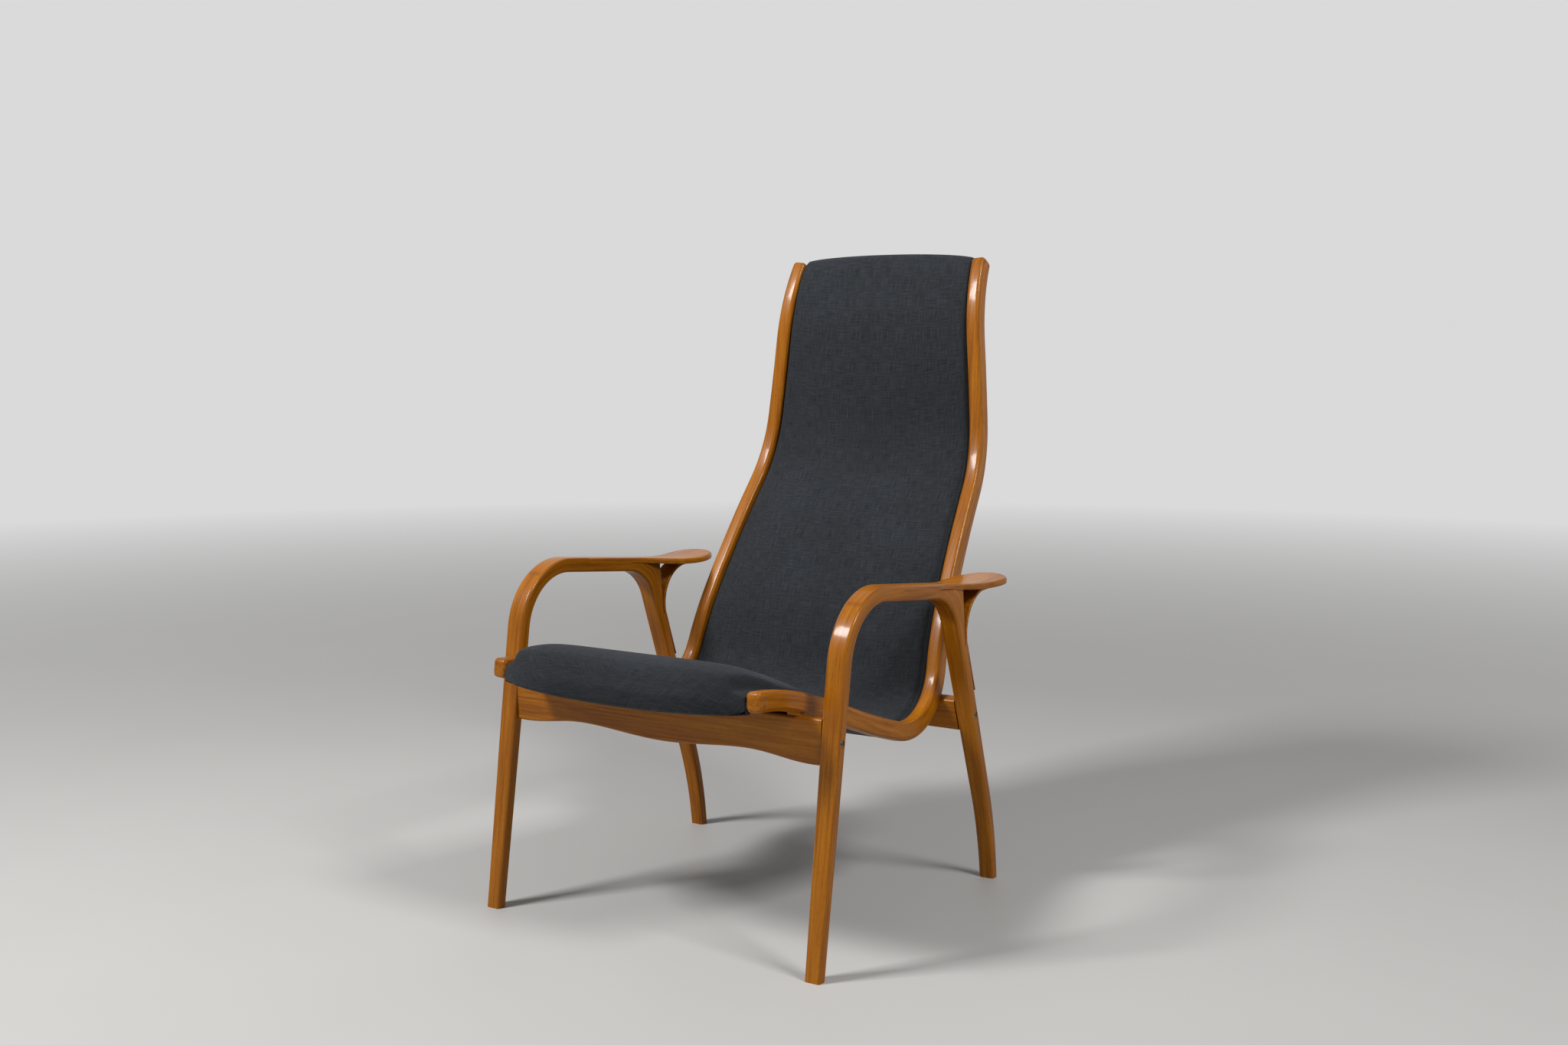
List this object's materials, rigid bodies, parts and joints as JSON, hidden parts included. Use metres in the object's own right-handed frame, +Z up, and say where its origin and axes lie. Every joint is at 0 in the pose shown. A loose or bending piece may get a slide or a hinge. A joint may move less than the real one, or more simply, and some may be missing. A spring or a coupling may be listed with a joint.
{
  "type": "lounge chair",
  "caption": "Bentwood lounge chair with rounded arms, cross rails and one continuous upholstered seat and high back.",
  "frame": {"origin": "on the floor, at the centre of the chair's outline seen from above", "axes": "+Z up, the chair faces -Y, +X is the sitter's left"},
  "size_m": [0.6448, 0.8106, 1.0157],
  "materials": {
    "bent_beech": "satin lacquer",
    "hidden_beech": "raw",
    "dowel_beech": "raw",
    "webbing": "woven",
    "foam": "matte",
    "cover_cloth": "matte woven",
    "lining_cloth": "matte",
    "steel": "zinc plated"
  },
  "bodies": {
    "root": {"left_front_leg": "bent_beech", "left_rear_leg": "bent_beech", "left_arm_brace": "bent_beech", "left_armrest": "bent_beech", "left_side_rail": "bent_beech", "right_front_leg": "bent_beech", "right_rear_leg": "bent_beech", "right_arm_brace": "bent_beech", "right_armrest": "bent_beech", "right_side_rail": "bent_beech", "front_cross_rail": "bent_beech", "rear_cross_rail": "bent_beech", "shell_spacers": "bent_beech", "front_slat": "hidden_beech", "crease_slat": "hidden_beech", "lumbar_slat": "hidden_beech", "middle_slat": "hidden_beech", "top_slat": "hidden_beech", "rail_dowels": "dowel_beech", "seat_webbing": "webbing", "back_webbing": "webbing", "seat_foam": "foam", "back_foam": "foam", "upholstery_cover": "cover_cloth", "under_cloth": "lining_cloth", "back_cloth": "lining_cloth", "leg_bolts": "steel", "barrel_nuts": "steel", "shell_bolts": "steel"}
  },
  "joints": []
}
